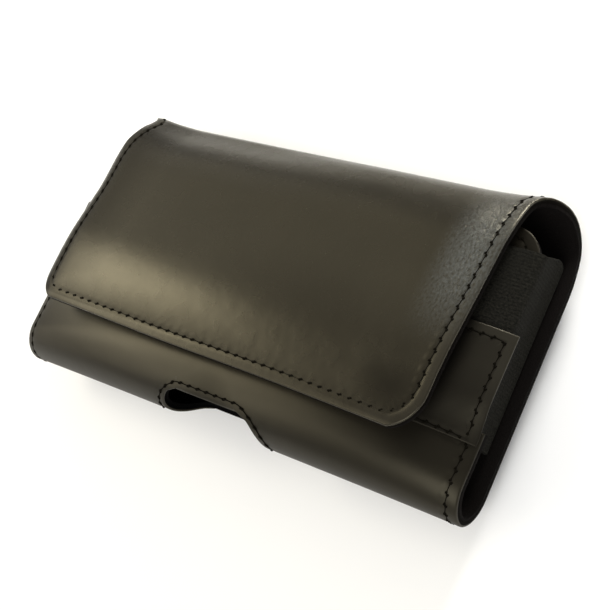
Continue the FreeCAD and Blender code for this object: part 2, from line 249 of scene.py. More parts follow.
# %% Grid helpers
EDGE_STEPS = np.array([0, 0.1, 0.22, 0.4, 0.65, 1.0, 1.6, 2.2, 2.6, 3.0, 3.4, 3.8, 4.2, 4.6, 5.0, 6.0])
NEAR = EDGE_STEPS[-1]


def graded(start, end, spacing, first=True):
    """Places from start to end, crowded towards the end, and towards the start too if that is a cut edge."""
    length = end - start
    near = EDGE_STEPS[EDGE_STEPS < length * 0.4]
    head = near if first else near[:1]
    count = max(2, int(round((length - head[-1] - near[-1]) / spacing)) + 1)
    middle = np.linspace(head[-1], length - near[-1], count)
    return start + np.concatenate([head[:-1], middle, (length - near[:-1])[::-1]])


def closest(points, line):
    """Distance from each point to a polyline, and how far along the polyline it is."""
    best = np.full(len(points), 1e9)
    along = np.zeros(len(points))
    travelled = 0.0
    for start, end in zip(line[:-1], line[1:]):
        step = end - start
        length = np.linalg.norm(step)
        if length < 1e-6:
            continue
        share = np.clip((points - start) @ step / length ** 2, 0, 1)
        distance = np.linalg.norm(points - start - share[:, None] * step, axis=1)
        nearer = distance < best
        best[nearer] = distance[nearer]
        along[nearer] = (travelled + share * length)[nearer]
        travelled += length
    return best, along


def lengths_along(path):
    """How far along a polyline each of its points lies."""
    return np.concatenate([[0], np.cumsum(np.linalg.norm(np.diff(path, axis=0), axis=1))])


def along_path(path, lengths, places):
    """The points of a polyline at some places along it."""
    return np.stack([np.interp(places, lengths, path[:, i]) for i in range(path.shape[1])], axis=-1)


def seam_hollow(inward):
    """The leather is drawn down along a seam, and stands a little proud between the seam and the edge."""
    return 0.03 * np.exp(-((inward + 1.7) / 1.1) ** 2) - 0.09 * np.exp(-(inward / 0.7) ** 2)


# %% [markdown]
# The mesh maker takes the outer points and the outward normals of the grid, and adds the inner face and the
# rim. Cells that the mask leaves out, such as the notch, get a rim too.

# %% The mesh maker
def new_object(name, vertices, faces):
    mesh = bpy.data.meshes.new(name)
    mesh.from_pydata((np.asarray(vertices) * MM).tolist(), [], faces)
    mesh.update()
    made = bpy.data.objects.new(name, mesh)
    bpy.context.scene.collection.objects.link(made)
    return made


def grid_faces(columns, keep, offset, flip):
    starts = [offset + r * columns + c for r, c in np.argwhere(keep).tolist()]
    faces = [[a, a + 1, a + columns + 1, a + columns] for a in starts]
    return [face[::-1] for face in faces] if flip else faces


def rim_edges(keep, columns, open_sides):
    """Edges of the kept cells that have a cell on one side only, in the outer face's turning sense."""
    padded = np.pad(keep, 1)
    edges = []
    for r, c in np.argwhere(keep).tolist():
        a = r * columns + c
        b, d, e = a + 1, a + columns, a + columns + 1
        if not padded[r, c + 1] and not (r == 0 and "first" in open_sides):
            edges.append((a, b))
        if not padded[r + 2, c + 1] and not (r == len(keep) - 1 and "last" in open_sides):
            edges.append((e, d))
        if not padded[r + 1, c]:
            edges.append((d, a))
        if not padded[r + 1, c + 2]:
            edges.append((b, e))
    return edges


def make_sheet(name, outer, normal, thickness, flat, outline=None, keep=None, open_sides=(), rim=0.45,
               flip=False, depth=0.0, wave=None, seams=()):
    """outer and normal are rows x columns x 3 and flat is rows x columns x 2.

    outline is a list of polylines, or else the grid's four sides. seams is a list of (polyline, inset): a seam
    runs along the polyline, that far inside it.
    """
    rows, columns = outer.shape[:2]
    outline = outline or [outer[0], outer[-1], outer[:, 0], outer[:, -1]]
    keep = np.ones((rows - 1, columns - 1), bool) if keep is None else keep
    points = outer.reshape(-1, 3)
    normals = normal.reshape(-1, 3)
    distance = np.full(len(points), 1e9)
    along = np.zeros(len(points))
    for line in outline:
        near, place = closest(points, line)
        along = np.where(near < distance, place, along)
        distance = np.minimum(distance, near)
    inward = np.min([closest(points, line)[0] - inset for line, inset in seams] or [distance + 99], axis=0)
    waves = np.zeros(len(points)) if wave is None else wave.reshape(-1)
    lifted = -depth - round_off(distance, rim) + seam_hollow(inward) + waves
    lower = -depth - thickness + waves
    top = points + normals * lifted[:, None]
    low = points + normals * lower[:, None]
    count = len(points)
    faces = grid_faces(columns, keep, 0, flip) + grid_faces(columns, keep, count, not flip)
    for a, b in rim_edges(keep, columns, open_sides):
        face = [b, a, a + count, b + count]
        faces.append(face[::-1] if flip else face)
    made = new_object(name, np.concatenate([top, low]), faces)
    shade(made, flat.reshape(-1, 2), inward, along, count)
    return made


def smooth(made):
    for polygon in made.data.polygons:
        polygon.use_smooth = True


def shade(made, flat, inward, along, count):
    """Stores the flat place, the distance to the seam and the place along the edge, and smooths the faces."""
    mesh = made.data
    loops = np.zeros(len(mesh.loops), int)
    mesh.loops.foreach_get("vertex_index", loops)
    place = loops % count
    layers = (("flat", flat[place]), ("rim", np.stack([inward, along], axis=1)[place]))
    for name, values in layers:
        layer = mesh.uv_layers.new(name=name)
        layer.data.foreach_set("uv", (values * 0.01).ravel())
    side = mesh.attributes.new("face_side", "FLOAT", "POINT")
    side.data.foreach_set("value", (np.arange(len(mesh.vertices)) < count).astype(float))
    smooth(made)
    mesh.validate()
    mesh.set_sharp_from_angle(angle=math.radians(40))
    used = np.zeros(len(mesh.vertices), bool)
    used[loops] = True
    if not used.all():
        drop_loose(made)


def drop_loose(made):
    """Deletes the vertices of the cells that were left out."""
    work = bmesh.new()
    work.from_mesh(made.data)
    bmesh.ops.delete(work, geom=[v for v in work.verts if not v.link_faces], context="VERTS")
    work.to_mesh(made.data)
    work.free()


# %% [markdown]
# ## The flap and the body
#
# The flap's sheet runs on over the fold, where the leather bends when the flap opens. The body's sheet starts
# on the back wall just below the fold. Both are made twice: as leather, and as the thin lining under it.

# %% Rows and columns of the big sheet
# The flap's sheet ends and the body's begins at this q. The crown's rows lie closer together.
SHEETS_MEET = 1.028
CROWN_LENGTH = 6
COLUMN_STEP = 2.2


def flap_rows():
    crown = np.arange(0, CROWN_LENGTH, 0.35)
    lower = CROWN_LENGTH + graded(0, FLAP_LENGTH - CROWN_LENGTH, 1.3, first=False)
    lengths = np.concatenate([crown, lower])
    fold = np.linspace(0, 1, 28)[1:]
    return np.concatenate([-lengths[::-1] / FLAP_LENGTH, fold, [SHEETS_MEET]])


def body_rows():
    back = np.linspace(SHEETS_MEET, 2, 40)
    curl = np.linspace(2, 3, 41)[1:]
    lower = 3 + graded(0, 10, 1.2, first=False)[1:] / 10
    panel = MOUTH_Y - STEP_Y
    upper = 4 + graded(0, panel, 1.5)[1:] / panel
    just_over_step = 4.0002
    return np.concatenate([back, curl, lower, [just_over_step], upper])


def outline_of(rows, end):
    """One polyline along the cut edge: one side, the cut end and the other side."""
    left, right = (np.array([sheet_point(side * half_width(q, side), q) for q in rows]) for side in (-1, 1))
    across = np.linspace(-half_width(rows[end]), half_width(rows[end], 1), 40)
    cut_end = sheet_point(across, rows[end] + 0 * across)
    if end == 0:
        return [np.concatenate([left[::-1], cut_end, right])]
    return [np.concatenate([left, cut_end, right[::-1]])]


def flat_place(outer):
    """X, and the distance travelled down each column."""
    steps = np.linalg.norm(np.diff(outer, axis=0), axis=2)
    travelled = np.concatenate([np.zeros((1, outer.shape[1])), np.cumsum(steps, axis=0)])
    return join(outer[..., 0], travelled)


def sheet_grid(rows, columns_of):
    xs = np.stack([columns_of(q) for q in rows])
    qs = np.broadcast_to(rows[:, None], xs.shape)
    y, z, normal_y, normal_z = section(xs, qs)
    outer = join(xs, y, z)
    normal = join(0 * xs, normal_y, normal_z)
    return outer, normal


def plain_columns(q):
    unit = graded(-HALF, HALF, COLUMN_STEP)
    half = np.where(unit < 0, half_width(q), half_width(q, 1))
    scaled = np.where(unit < 0, unit + HALF, HALF - unit)
    edge = np.minimum(scaled, NEAR)
    rest = (scaled - edge) * (half - NEAR) / (HALF - NEAR)
    inward = edge + rest
    return np.where(unit < 0, -half + inward, half - inward)


# %% Gentle waves in the leather
def hump(x, s, centre, size, height):
    return height * np.exp(-((x - centre[0]) / size[0]) ** 2 - ((s - centre[1]) / size[1]) ** 2)


def flap_wave(flat):
    """How far the flap's leather lies off its even shape. The hem is drawn down, and the fold stays even."""
    x, s = flat[..., 0], flat[..., 1]
    wave = hump(x, s, (-40, 70), (30, 14), 0.25) - hump(x, s, (20, 50), (34, 20), 0.35)
    wave = wave + hump(x, s, (58, 34), (12, 20), 0.2) - 1.0 * np.clip(1 - s / 15, 0, 1) ** 2
    return wave * np.clip((FLAP_LENGTH - s) / 20, 0, 1)


# %% The flap's leather and lining
INSET = 3.6
rows = flap_rows()
outer, normal = sheet_grid(rows, plain_columns)
flap_flat = flat_place(outer)
flap_outline = outline_of(rows, 0)
shared = {"flat": flap_flat, "outline": flap_outline, "open_sides": ("last",), "wave": flap_wave(flap_flat)}
flap_sheet = make_sheet("flap_leather_sheet", outer, normal, LEATHER, **shared,
                        seams=[(line, INSET) for line in flap_outline])
flap_under = make_sheet("flap_lining_sheet", outer, normal, LINING, **shared, rim=0.05, depth=LEATHER)
print("flap sheets:", len(flap_sheet.data.polygons), "faces each")

# %% The body's leather and lining
SIDE_INSET, NOTCH_INSET = 3.2, 2.4
# Half the strip of columns in the middle, which are left out at the notch, and the columns beside it.
STRIP = 11.5
# The X near the notch's sides where the curl's height is read.
NOTCH_SIDE = 16.0
SIDE_COLUMNS = graded(-HALF, -STRIP, COLUMN_STEP) + HALF


def notch_at(q):
    """Half the notch's width in a row of the curl, and zero elsewhere."""
    if not 2 < q < 3:
        return 0.0
    y = section(np.array([NOTCH_SIDE]), np.array([q]))[0][0]
    return float(notch_half(y))


def body_columns(q):
    """Columns that crowd at the sheet's sides and at the notch's, a little to the right in the middle."""
    half = half_width(q)
    gap = notch_at(q) or STRIP
    near_edge = np.minimum(SIDE_COLUMNS, NEAR)
    near_notch = np.minimum(HALF - STRIP - SIDE_COLUMNS, NEAR)
    inner = HALF - STRIP - 2 * NEAR
    middle = np.clip(SIDE_COLUMNS - NEAR, 0, inner) / inner
    left = -half + near_edge + middle * (half - gap - 2 * NEAR) + (NEAR - near_notch)
    across = np.linspace(-gap, gap, 12)[1:-1]
    xs = np.concatenate([left, across, -left[::-1]])
    return xs + NOTCH_X * (1 - np.clip(np.abs(xs) / (half - NEAR), 0, 1))


def snap_to_notch(rows):
    """Moves the two rows nearest to the notch's upper line onto it."""
    snapped = rows.copy()
    for low, high in ((2.0, 2.5), (2.5, 3.0)):
        inside = np.where((rows > low) & (rows < high))[0]
        fine = np.linspace(low, high, 4000)
        line = fine[np.argmin(np.abs(section(0 * fine + 13, fine)[0] - NOTCH_TOP))]
        nearest = inside[np.argmin(np.abs(rows[inside] - line))]
        snapped[nearest] = line
    return snapped


rows = snap_to_notch(body_rows())
outer, normal = sheet_grid(rows, body_columns)
body_flat = flat_place(outer) + np.array([0, FLAP_LENGTH + FOLD_LENGTH + 2])
middle_y = section(np.full(len(rows), 13.0), rows)[0]
in_notch = ((middle_y[:-1] + middle_y[1:]) / 2 < NOTCH_TOP) & (rows[:-1] >= 2) & (rows[:-1] < 3)
left_column = len(SIDE_COLUMNS) - 1
right_column = outer.shape[1] - 1 - left_column
keep = np.ones((outer.shape[0] - 1, outer.shape[1] - 1), bool)
keep[np.ix_(in_notch, np.arange(left_column, right_column))] = False
notch_index = np.where(in_notch)[0]
notch_rows = np.arange(notch_index[0], notch_index[-1] + 2)
notch_sides = [outer[notch_rows, column] for column in (left_column, right_column)]
notch_ends = [np.array([line[i] for line in notch_sides]) for i in (0, -1)]
body_outline = outline_of(rows, -1) + notch_sides + notch_ends
body_seams = [(body_outline[0], SIDE_INSET)] + [(line, NOTCH_INSET) for line in body_outline[1:]]
shared = {"flat": body_flat, "outline": body_outline, "keep": keep, "open_sides": ("first",)}
body_sheet = make_sheet("body_leather_sheet", outer, normal, LEATHER, **shared, seams=body_seams)
body_under = make_sheet("body_lining_sheet", outer, normal, LINING, **shared, rim=0.05, depth=LEATHER)
print("body sheets:", len(body_sheet.data.polygons), "faces each, notch rows", len(notch_rows))

# %% [markdown]
# ## Elastic gussets
#
# Each gusset is one strap of black elastic, folded three times: its front leaf lies on the front panel, its
# side runs back, and a short flange lies on the back lining. The path is drawn in XZ, with rounded folds. The
# folded side hangs lower than the front leaf, which stays hidden under the tab.

# %% The gusset's path and mesh
GUSSET_LOW, GUSSET_FRONT, GUSSET_REAR = BOTTOM + 22.4, TOP - 18.8, TOP - 12.9
# Its outermost X, the widths of its front leaf and its rear flange, and how high the flange lies.
GUSSET_OUT, LEAF, FLANGE, FLANGE_Z = 86.8, 21.2, 10.2, BACK + 3.1
# The elastic's thickness, how high the leaf lies over the front, and how much higher up its lower edge is.
ELASTIC, LEAF_LIFT, LEAF_SHORT = 1.2, 1.4, 6.5


def round_path(corners, radii, steps=7):
    """A polyline through corners in a plane, with the inner corners rounded."""
    points = [np.array(corners[0], float)]
    for before, corner, after, radius in zip(corners[:-2], corners[1:-1], corners[2:], radii):
        before, corner, after = (np.array(v, float) for v in (before, corner, after))
        into = (before - corner) / np.linalg.norm(before - corner)
        away = (after - corner) / np.linalg.norm(after - corner)
        half_turn = math.acos(np.clip(into @ away, -1, 1)) / 2
        reach = radius / math.tan(half_turn)
        centre = corner + (into + away) / np.linalg.norm(into + away) * radius / math.sin(half_turn)
        first, last = corner + into * reach - centre, corner + away * reach - centre
        swing = math.atan2(first[0] * last[1] - first[1] * last[0], first @ last)
        for share in np.linspace(0, 1, steps):
            c, s = math.cos(swing * share), math.sin(swing * share)
            points.append(centre + np.array([first[0] * c - first[1] * s, first[0] * s + first[1] * c]))
    points.append(np.array(corners[-1], float))
    return np.array(points)


def spread(path, count):
    """The same polyline with evenly spaced points, its normals on the left, and the points' places."""
    lengths = lengths_along(path)
    places = np.linspace(0, lengths[-1], count)
    even = along_path(path, lengths, places)
    tangent = np.gradient(even, axis=0)
    tangent /= np.linalg.norm(tangent, axis=1)[:, None]
    return even, join(-tangent[:, 1], tangent[:, 0]), places


def gusset_top(z):
    """Y of the upper edge at a height: it rises towards the back and is rounded there."""
    rise = np.interp(z, [BACK, BACK + 19.2], [GUSSET_REAR, GUSSET_FRONT])
    return rise - round_off(z - BACK - 2.9, 8.0)


def gusset_path(y, belly):
    """From the front leaf's inner edge round to the flange's, with the side drawn in by the belly."""
    corners = [(x, float(front_height(np.array(x), y)) + LEAF_LIFT) for x in (GUSSET_OUT - LEAF, GUSSET_OUT)]
    corners += [(GUSSET_OUT - belly, 19.0), (GUSSET_OUT, FLANGE_Z), (GUSSET_OUT - FLANGE, FLANGE_Z)]
    return round_path(corners, (2.0, 12.0, 2.2))


def gusset(word, side):
    shares = graded(0, 60, 1.6) / 60
    count = 64
    outer = np.zeros((len(shares), count, 3))
    normal = np.zeros_like(outer)
    flat = np.zeros((len(shares), count, 2))
    rear_path = spread(gusset_path(GUSSET_FRONT, 0.3), count)[0]
    tops = gusset_top(rear_path[:, 1])
    lows = GUSSET_LOW + LEAF_SHORT * ease((rear_path[:, 1] - 20) / 5)
    for r, share in enumerate(shares):
        y = GUSSET_LOW + share * (GUSSET_FRONT - GUSSET_LOW)
        path, left, places = spread(gusset_path(y, 0.2 + 0.5 * math.sin(math.pi * share)), count)
        ys = lows + share * (tops - lows)
        outer[r] = join(side * path[:, 0], ys, path[:, 1])
        normal[r] = join(side * left[:, 0], 0 * ys, left[:, 1])
        flat[r] = join(places, ys)
    return make_sheet(word + "_gusset_elastic", outer, normal, ELASTIC, flat, rim=0.35, flip=side < 0)


gussets = [gusset(word, side) for word, side in ENDS]

# %% [markdown]
# ## End tabs
#
# A leather tab covers each gusset's sewn front leaf. Its lower edge is pulled down to the front by the seam.

# %% The tabs
TAB_LOW, TAB_HIGH = BOTTOM + 24.1, BOTTOM + 24.1 + 33.7
TAB_IN, TAB_OUT, TAB_THICK = 65.0, 89.5, 1.6
TAB_INSET, TAB_LOW_INSET = 3.0, 1.2


def tab_height(x, y):
    """Z of the tab's outer face. It comes down off the elastic to its lower seam, and at its outer edge."""
    under = 2.4 * ease((y - TAB_LOW + 0.5) / 15.0) - 0.8
    return front_height(x, y) + TAB_THICK + under - 0.35 * ease((np.abs(x) - 86) / 4)


def raised_grid(xs, ys, height):
    """Points and normals over a grid of x and y."""
    x, y = np.meshgrid(xs, ys)
    z = height(x, y)
    outer = join(x, y, z)
    off = 0.05
    slope_x = (height(x + off, y) - height(x - off, y)) / (2 * off)
    slope_y = (height(x, y + off) - height(x, y - off)) / (2 * off)
    normal = join(-slope_x, -slope_y, 1 + 0 * z)
    return outer, normal / np.linalg.norm(normal, axis=-1, keepdims=True)


def tab(word, side):
    xs = side * (TAB_IN + graded(0, TAB_OUT - TAB_IN, 1.4))
    ys = TAB_LOW + graded(0, TAB_HIGH - TAB_LOW, 1.4)
    outer, normal = raised_grid(xs, ys, tab_height)
    seams = [(outer[-1], TAB_INSET), (outer[:, -1], TAB_INSET), (outer[0], TAB_LOW_INSET)]
    return make_sheet(word + "_tab_leather", outer, normal, TAB_THICK, outer[..., :2], rim=0.4,
                      flip=side < 0, seams=seams)


tabs = [tab(word, side) for word, side in ENDS]

# %% [markdown]
# ## Stitches
#
# A stitch is a short piece of thread that comes out of one hole and goes down into the next. A seam is a path
# on a sheet, cut into equal pitches. Each stitch lies in the hollow of its seam. It is thick where it fills its
# holes, and thin between them. All the stitches of one seam group are one mesh.

# %% The stitch maker
# The pitch, how far a stitch slants left and right of X 55 to 68, and for seven places along each stitch: its
# share of the pitch, its lift and its thread's radius.
PITCH, SLANT = 3.6, (0.16, 0.32)
SHARES = np.array([0.0, 0.14, 0.25, 0.5, 0.75, 0.86, 1.0])
LIFTS = np.array([-0.14, -0.14, -0.14, -0.11, -0.14, -0.14, -0.14])
THREAD = np.array([0.46, 0.46, 0.20, 0.15, 0.20, 0.46, 0.46])


def thread_piece(points, radii, sides=6):
    """Vertices and faces of a thin tube along a few points, with a radius at each."""
    points = np.asarray(points)
    tangent = np.gradient(points, axis=0)
    tangent /= np.linalg.norm(tangent, axis=1)[:, None]
    guide = np.array([0.3, 0.2, 1.0]) if abs(tangent[0][2]) < 0.8 else np.array([1.0, 0.2, 0.3])
    first = np.cross(tangent, guide)
    first /= np.linalg.norm(first, axis=1)[:, None]
    second = np.cross(tangent, first)
    turns = np.linspace(0, 2 * math.pi, sides, endpoint=False)
    rings = [p + radius * (math.cos(t) * f + math.sin(t) * s)
             for p, f, s, radius in zip(points, first, second, radii) for t in turns]
    faces = []
    for ring in range(len(points) - 1):
        for k in range(sides):
            a, b = ring * sides + k, ring * sides + (k + 1) % sides
            faces.append([a, b, b + sides, a + sides])
    faces.append(list(range(sides))[::-1])
    faces.append([(len(points) - 1) * sides + k for k in range(sides)])
    return rings, faces


def even_places(path, pitch):
    """The points' places along a polyline, and the ends of equal pieces of about one pitch."""
    lengths = lengths_along(path)
    count = max(1, int(round(lengths[-1] / pitch)))
    return lengths, np.linspace(0, lengths[-1], count + 1)


def stitches(name, seams):
    """seams is a list of (path, surface), where surface(points, lift) puts flat points on the leather."""
    vertices, faces = [], []
    for path, surface in seams:
        lengths, places = even_places(surface(path, 0.0), PITCH)
        for start, end in zip(places[:-1], places[1:]):
            span = start + (end - start) * SHARES
            flat_points = along_path(path, lengths, span)
            points = surface(flat_points, LIFTS)
            outward = surface(flat_points, LIFTS + 1.0) - points
            across = np.cross(np.gradient(points, axis=0), outward)
            across /= np.linalg.norm(across, axis=1)[:, None]
            slant = np.interp(points[3, 0], (55, 68), SLANT)
            points = points + across * np.linspace(-slant, slant, 7)[:, None]
            rings, sides = thread_piece(points, THREAD)
            faces += [[k + len(vertices) for k in face] for face in sides]
            vertices += rings
    made = new_object(name, vertices, faces)
    smooth(made)
    return made


# %% Seam paths on the big sheet
def on_sheet(points, lift):
    return sheet_point(points[:, 0], points[:, 1], lift)


def on_curl(points, lift):
    """The thread round the notch stands higher, because the curl bends away under it."""
    return on_sheet(points, lift + 0.15)


def side_path(start, end, side, inset, count=240):
    qs = np.linspace(start, end, count)
    return join(side * (half_width(qs, side) - inset), qs)


def hem_path():
    """Down the left side of the flap, along its hem and up the right side."""
    turns = np.linspace(0, math.pi / 2, 12)[1:]
    halves = []
    for side, radius in FLAP_CORNERS.items():
        bend = -1 + radius / FLAP_LENGTH
        x = FLAP_HALF - radius + (radius - INSET) * np.cos(turns)
        q = bend - (radius - INSET) / FLAP_LENGTH * np.sin(turns)
        corner = join(side * x, q)
        halves.append(np.concatenate([side_path(0, bend, side, INSET, 120), corner]))
    left, right = halves
    straight = np.linspace(left[-1], right[-1], 60)[1:-1]
    return np.concatenate([left, straight, right[::-1]])


def waved(points, lift):
    flat = join(points[:, 0], (1 + points[:, 1]) * FLAP_LENGTH)
    return on_sheet(points, lift + flap_wave(flat))


def level_line(start, end, y, count=30):
    """A seam path along X."""
    return join(np.linspace(start, end, count), np.full(count, y))


def notch_path(inset):
    """Up the notch's left side, over its top and down its right side, on the front of the curl."""
    fine = np.linspace(2.0, 3.0, 1200)
    y = section(0 * fine + NOTCH_SIDE, fine)[0]
    line = NOTCH_TOP + inset
    front = (fine > 2.5) & (y < line)
    ys = y[front]
    taper = NOTCH_TAPER * np.clip((ys - BOTTOM) / NOTCH_RISE, 0, 1.2)
    half = NOTCH_HALF - taper + inset - round_off(line - ys, NOTCH_CORNER + inset)
    left = join(-half, fine[front])
    top = level_line(left[-1][0], -left[-1][0], left[-1][1])[1:-1]
    return np.concatenate([left, top, left[::-1] * np.array([-1, 1])]) + np.array([NOTCH_X, 0])


def panel_path(inset):
    """Along the mouth of the front panel, round both of its upper corners, as x and q."""
    radius = PANEL_CORNER - inset
    centre = np.array([PANEL_HALF - PANEL_CORNER, MOUTH_Y - PANEL_CORNER])
    turns = np.linspace(math.asin((MOUTH_Y - 6.2 - centre[1]) / radius), math.pi / 2, 12)
    corner = centre + radius * join(np.cos(turns), np.sin(turns))
    across = level_line(centre[0], -centre[0], MOUTH_Y - inset, 60)
    line = np.concatenate([corner, across[1:-1], corner[::-1] * np.array([-1, 1])])
    return join(line[:, 0], 4 + (line[:, 1] - STEP_Y) / (MOUTH_Y - STEP_Y))


flap_stitches = stitches("flap_stitching", [(hem_path(), waved)])
fold_stitches = stitches("fold_stitching", [(side_path(0, 1.0, side, INSET), on_sheet) for side in (-1, 1)])
side_seams = [(side_path(1.03, 3.9, side, SIDE_INSET, 900), on_sheet) for side in (-1, 1)]
body_stitches = stitches("body_stitching", side_seams + [(notch_path(NOTCH_INSET), on_curl),
                                                         (panel_path(SIDE_INSET), on_sheet)])


def on_tab(points, lift):
    z = tab_height(points[:, 0], points[:, 1])
    return join(points[:, 0], points[:, 1], z + lift)


def tab_path(side):
    outer_x, upper_y = TAB_OUT - TAB_INSET, TAB_HIGH - TAB_INSET
    corners = [(69.0, upper_y), (outer_x, upper_y), (outer_x, TAB_LOW + 2.2)]
    path = round_path([(side * x, y) for x, y in corners], (0.6,))
    return along_path(path, *even_places(path, 0.6))


tab_seams = [(path, on_tab) for side in (-1, 1)
             for path in (tab_path(side), level_line(side * 67, side * 85, TAB_LOW + TAB_LOW_INSET))]
tab_stitches = stitches("tab_stitching", tab_seams)
for piece in (flap_stitches, fold_stitches, body_stitches, tab_stitches):
    print(piece.name, len(piece.data.polygons), "faces")

# %% [markdown]
# ## Belt loops
#
# On the back two leather straps make tunnels for a belt. Each is sewn down at both ends.

# %% The loops
PAD_Z = 5.0
LOOP_PATH = [(-34.0, PAD_Z), (-26.0, PAD_Z), (-20.0, 0.0), (20.0, 0.0), (26.0, PAD_Z), (34.0, PAD_Z)]
LOOP_X, LOOP_HALF, LOOP_THICK = 45, 16, 2.15
SEAM_HALF, SEAM_YS = 13, (28.5, 31.6)


def belt_loop(word, side):
    path, left, places = spread(round_path(LOOP_PATH, (3.0, 3.0, 3.0, 3.0)), 64)
    xs = side * LOOP_X + graded(-LOOP_HALF, LOOP_HALF, 1.6)
    outer = np.array([[(x, y, z) for x in xs] for y, z in path])
    normal = np.array([[(0, y, z) for x in xs] for y, z in -left])
    flat = np.array([[(x, place) for x in xs] for place in places])
    return make_sheet(word + "_loop_leather", outer, normal, LOOP_THICK, flat, rim=0.5, flip=True)


loops = [belt_loop(word, side) for word, side in ENDS]


def on_pad(points, lift):
    """On the sewn ends of the loops, which face down."""
    return join(points[:, 0], points[:, 1], PAD_Z - lift + 0 * points[:, 0])


loop_seams = [(level_line(side * LOOP_X - SEAM_HALF, side * LOOP_X + SEAM_HALF, end * y), on_pad)
              for side in (-1, 1) for end in (-1, 1) for y in SEAM_YS]
loop_stitches = stitches("loop_stitching", loop_seams)

# %% [markdown]
# ## How the leather has settled
#
# The solids are regular, and the leather in the photograph isn't quite. The flap's left side stands out and
# has rolled down, the front's two ends have rolled down a little, and the fold sags between its corners. The
# body has slipped against its flap, so that its right end stands higher than its left. Each step below moves
# the vertices of all the pieces that lie there, stitches too. The tabs don't slip, and the belt loops stay as
# they are.

# %% The rolls, the sag and the slip
FLAP_ROLL, BODY_ROLL, ROLL_WIDTH = 1.8, 0.8, 8.0
SLIP = 0.026
# How far the flap's left side stands out at each Y, and how far the fold sags at each X.
FULL_Y = (12, 15.6, 20.5, 25.4, 30.3, 34.9, 39.3, 43.5, 45.1, 48.2)
FULL = (2.6, 2.9, 3.5, 4.2, 4.4, 4.5, 3.8, 3.4, 2.5, 0.2)
SAG_X = (-83, -78, -75, -70, -60, 60, 70, 76, 80, 83)
SAG = (0, -0.1, 0.45, 1.0, 1.6, 1.4, 0.95, 0.25, -0.1, 0)


def roll_flap(x, y, z):
    """The flap's left side stands out and turns down, more and more from the crown on."""
    left = np.clip(-x / FLAP_HALF, 0, 1.1)
    near_side = np.clip((ROLL_WIDTH - FLAP_HALF - x) / ROLL_WIDTH, 0, 1.1)
    below = ease((TOP - 6 - y) / 20)
    broad = 1.1 * np.clip((-x - 40) / 37, 0, 1.1) ** 2 * below
    return x - np.interp(y, FULL_Y, FULL) * left ** 3, y, z - FLAP_ROLL * below * near_side ** 2.2 - broad


def roll_body(x, y, z):
    """The front wall's ends turn down."""
    depth = BODY_ROLL * ease((z - 12) / 12)
    near_end = np.clip((ROLL_WIDTH - HALF + np.abs(x)) / ROLL_WIDTH, 0, 1)
    return x, y, z - depth * near_end ** 2


def settle(piece, on_flap=False, slip=SLIP):
    """Rolls, sags and slips one piece. The flap slips less and less towards its hem."""
    points = np.zeros(len(piece.data.vertices) * 3)
    piece.data.vertices.foreach_get("co", points)
    x, y, z = points.reshape(-1, 3).T / MM
    high = z > CROWN_Z
    if on_flap:
        rolled = roll_flap(x, y, z)
        x, y, z = (np.where(high, new, old) for new, old in zip(rolled, (x, y, z)))
    else:
        x, y, z = roll_body(x, y, z)
    share = np.where(high & on_flap, ease((y - 14) / 34), 1.0)
    sag = np.interp(x, SAG_X, SAG) * ease((y - 22) / 24)
    y = y + slip * x * share - sag
    piece.data.vertices.foreach_set("co", (join(x, y, z) * MM).ravel())
    piece.data.update()


for piece in (body_sheet, body_under, *gussets, body_stitches):
    settle(piece)
for piece in (*tabs, tab_stitches):
    settle(piece, slip=0.0)
for piece in (flap_sheet, flap_under, flap_stitches, fold_stitches):
    settle(piece, on_flap=True)

# %% [markdown]
# ## Materials
#
# A small class wraps a node's output, so that a material's sums can be written as Python sums.

# %% Sums with sockets
def feed(tree, place, value):
    """Links a wire to a socket or sets its value, where a colour is given as three numbers."""
    if isinstance(value, Wire):
        tree.links.new(value.socket, place)
    else:
        place.default_value = (*value, 1) if isinstance(value, tuple) else value


class Wire:
    def __init__(self, tree, socket):
        self.tree, self.socket = tree, socket

    def math(self, operation, *others):
        node = self.tree.nodes.new("ShaderNodeMath")
        node.operation = operation
        for place, value in zip(node.inputs, (self, *others)):
            feed(self.tree, place, value)
        return Wire(self.tree, node.outputs[0])

    def __add__(self, other):
        return self.math("ADD", other)

    __radd__ = __add__

    def __sub__(self, other):
        return self.math("SUBTRACT", other)

    def __rsub__(self, other):
        return (self * -1) + other

    def __mul__(self, other):
        return self.math("MULTIPLY", other)

    __rmul__ = __mul__

    def __truediv__(self, other):
        return self.math("DIVIDE", other)

    def __pow__(self, other):
        return self.math("POWER", other)

    def clamp(self, low=0.0, high=1.0):
        return self.math("MAXIMUM", low).math("MINIMUM", high)

    def near(self, centre, width):
        """One at the centre, falling smoothly to zero over the width."""
        off = ((self - centre) / width).math("ABSOLUTE").clamp()
        return (1 - off * off) ** 2

    def step(self, low, high):
        """Zero up to low, one from high on."""
        return ((self - low) / (high - low)).clamp()


